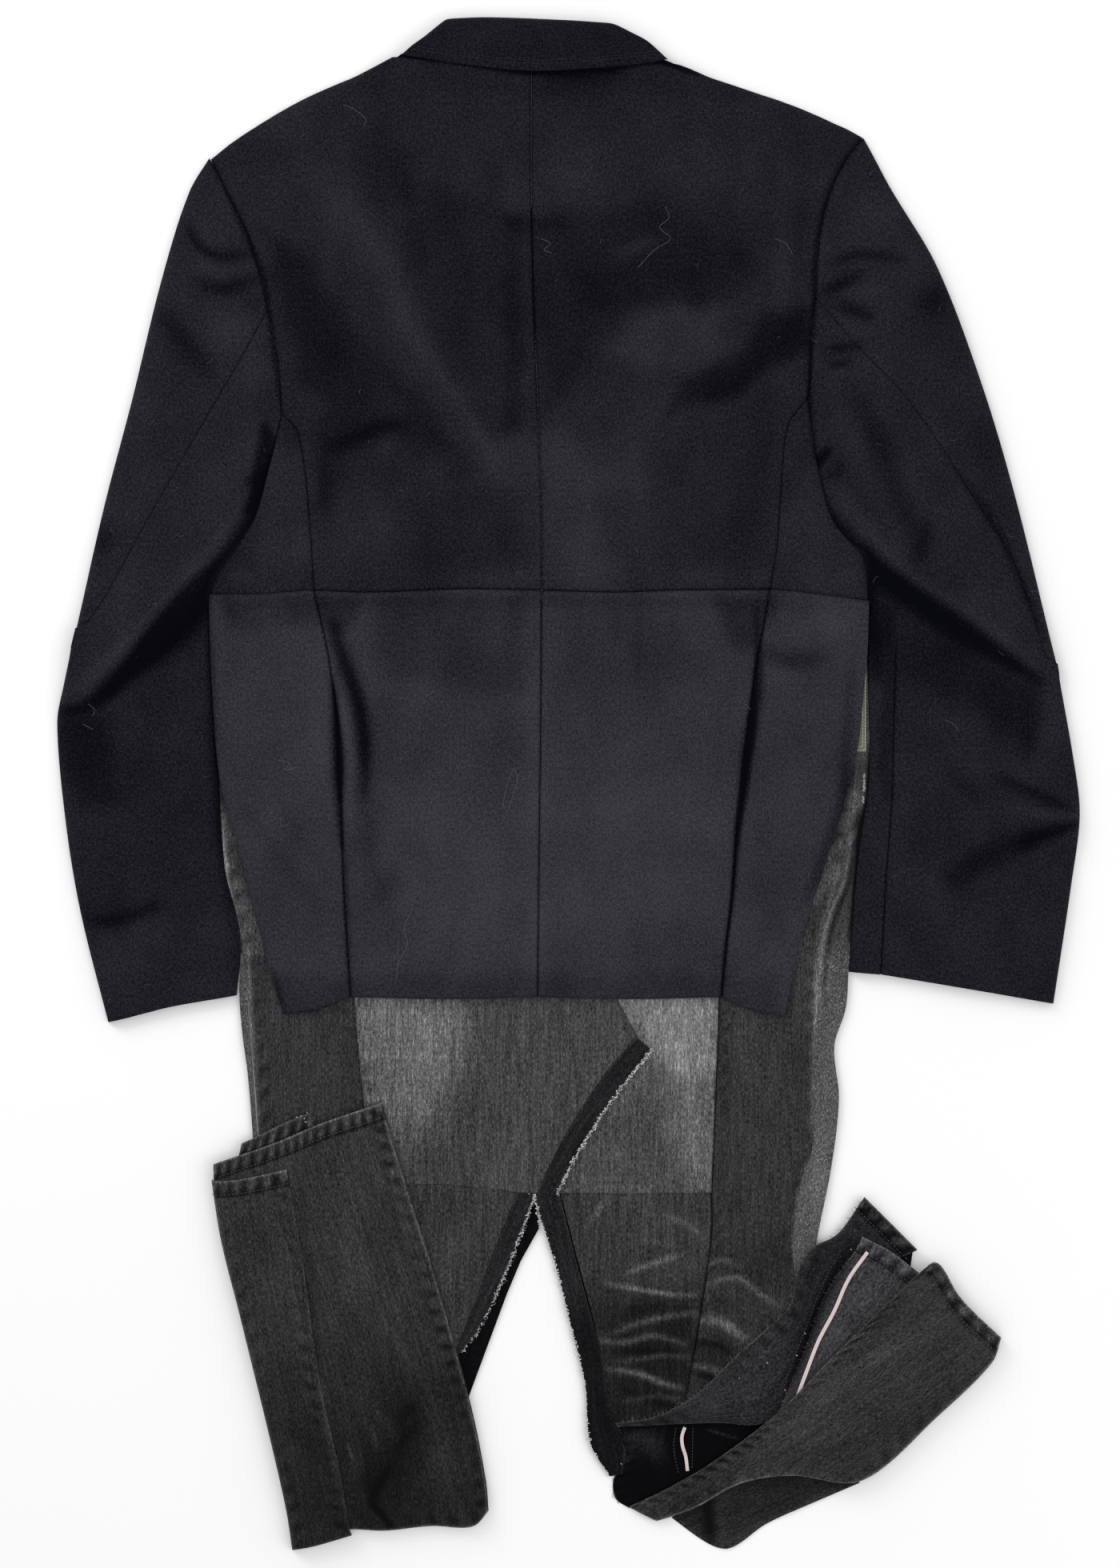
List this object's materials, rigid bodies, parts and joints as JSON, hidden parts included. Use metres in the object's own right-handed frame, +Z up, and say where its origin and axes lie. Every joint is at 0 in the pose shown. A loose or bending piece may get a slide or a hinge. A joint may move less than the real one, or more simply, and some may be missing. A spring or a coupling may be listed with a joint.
{
  "type": "denim maxi coat",
  "caption": "Long coat laid flat with its back up: tailored black wool jacket back and collar over a charcoal denim skirt with a frayed slit, both lower legs folded up.",
  "frame": {"origin": "centre of the laid-out coat's box, on the surface that it lies on", "axes": "+Y towards the collar, +X towards the wearer's right sleeve, which is on the right in the picture, +Z up from the surface"},
  "size_m": [0.7663, 1.1492, 0.0138],
  "materials": {
    "black_wool": "napped, matt",
    "faded_denim": "washed twill, matt",
    "dark_denim": "washed twill, matt",
    "unfaded_denim": "unwashed twill, matt",
    "inner_denim": "wrong side of twill, matt",
    "selvage": "woven tape, matt",
    "patch_hide": "washed, matt"
  },
  "bodies": {
    "root": {"front_bodice_left": "black_wool", "front_bodice_right": "black_wool", "sleeve_left_under": "black_wool", "sleeve_right_under": "black_wool", "collar_under": "black_wool", "back_left": "black_wool", "back_right": "black_wool", "side_back_left": "black_wool", "side_back_right": "black_wool", "peplum_back_left": "black_wool", "peplum_back_right": "black_wool", "peplum_side_left": "black_wool", "peplum_side_right": "black_wool", "collar": "black_wool", "collar_stand": "black_wool", "sleeve_left_top": "black_wool", "sleeve_left_hind": "black_wool", "sleeve_right_top": "black_wool", "sleeve_right_hind": "black_wool", "sleeve_right_turn": "black_wool", "skirt_back_left": "faded_denim", "skirt_back_right": "faded_denim", "skirt_turn_left": "faded_denim", "skirt_turn_right": "faded_denim", "front_skirt_left": "dark_denim", "front_skirt_right": "dark_denim", "skirt_side_left": "dark_denim", "skirt_side_right": "dark_denim", "thigh_back_left": "dark_denim", "thigh_back_right": "dark_denim", "leg_left_core": "dark_denim", "leg_left_back_hem": "dark_denim", "leg_left_main": "dark_denim", "leg_left_lap": "dark_denim", "leg_right_core_low": "dark_denim", "leg_right_core_high": "dark_denim", "leg_right_outside": "dark_denim", "leg_right_under_fold": "dark_denim", "slit_band_left": "unfaded_denim", "slit_band_right": "unfaded_denim", "seam_band_diagonal": "unfaded_denim", "thigh_front_left": "inner_denim", "thigh_front_right": "inner_denim", "leg_right_deep": "inner_denim", "leg_right_inside_upper": "inner_denim", "leg_right_inside_lower": "inner_denim", "selvage_tape_long": "selvage", "selvage_tape_short": "selvage", "waist_patch": "patch_hide"}
  },
  "joints": []
}
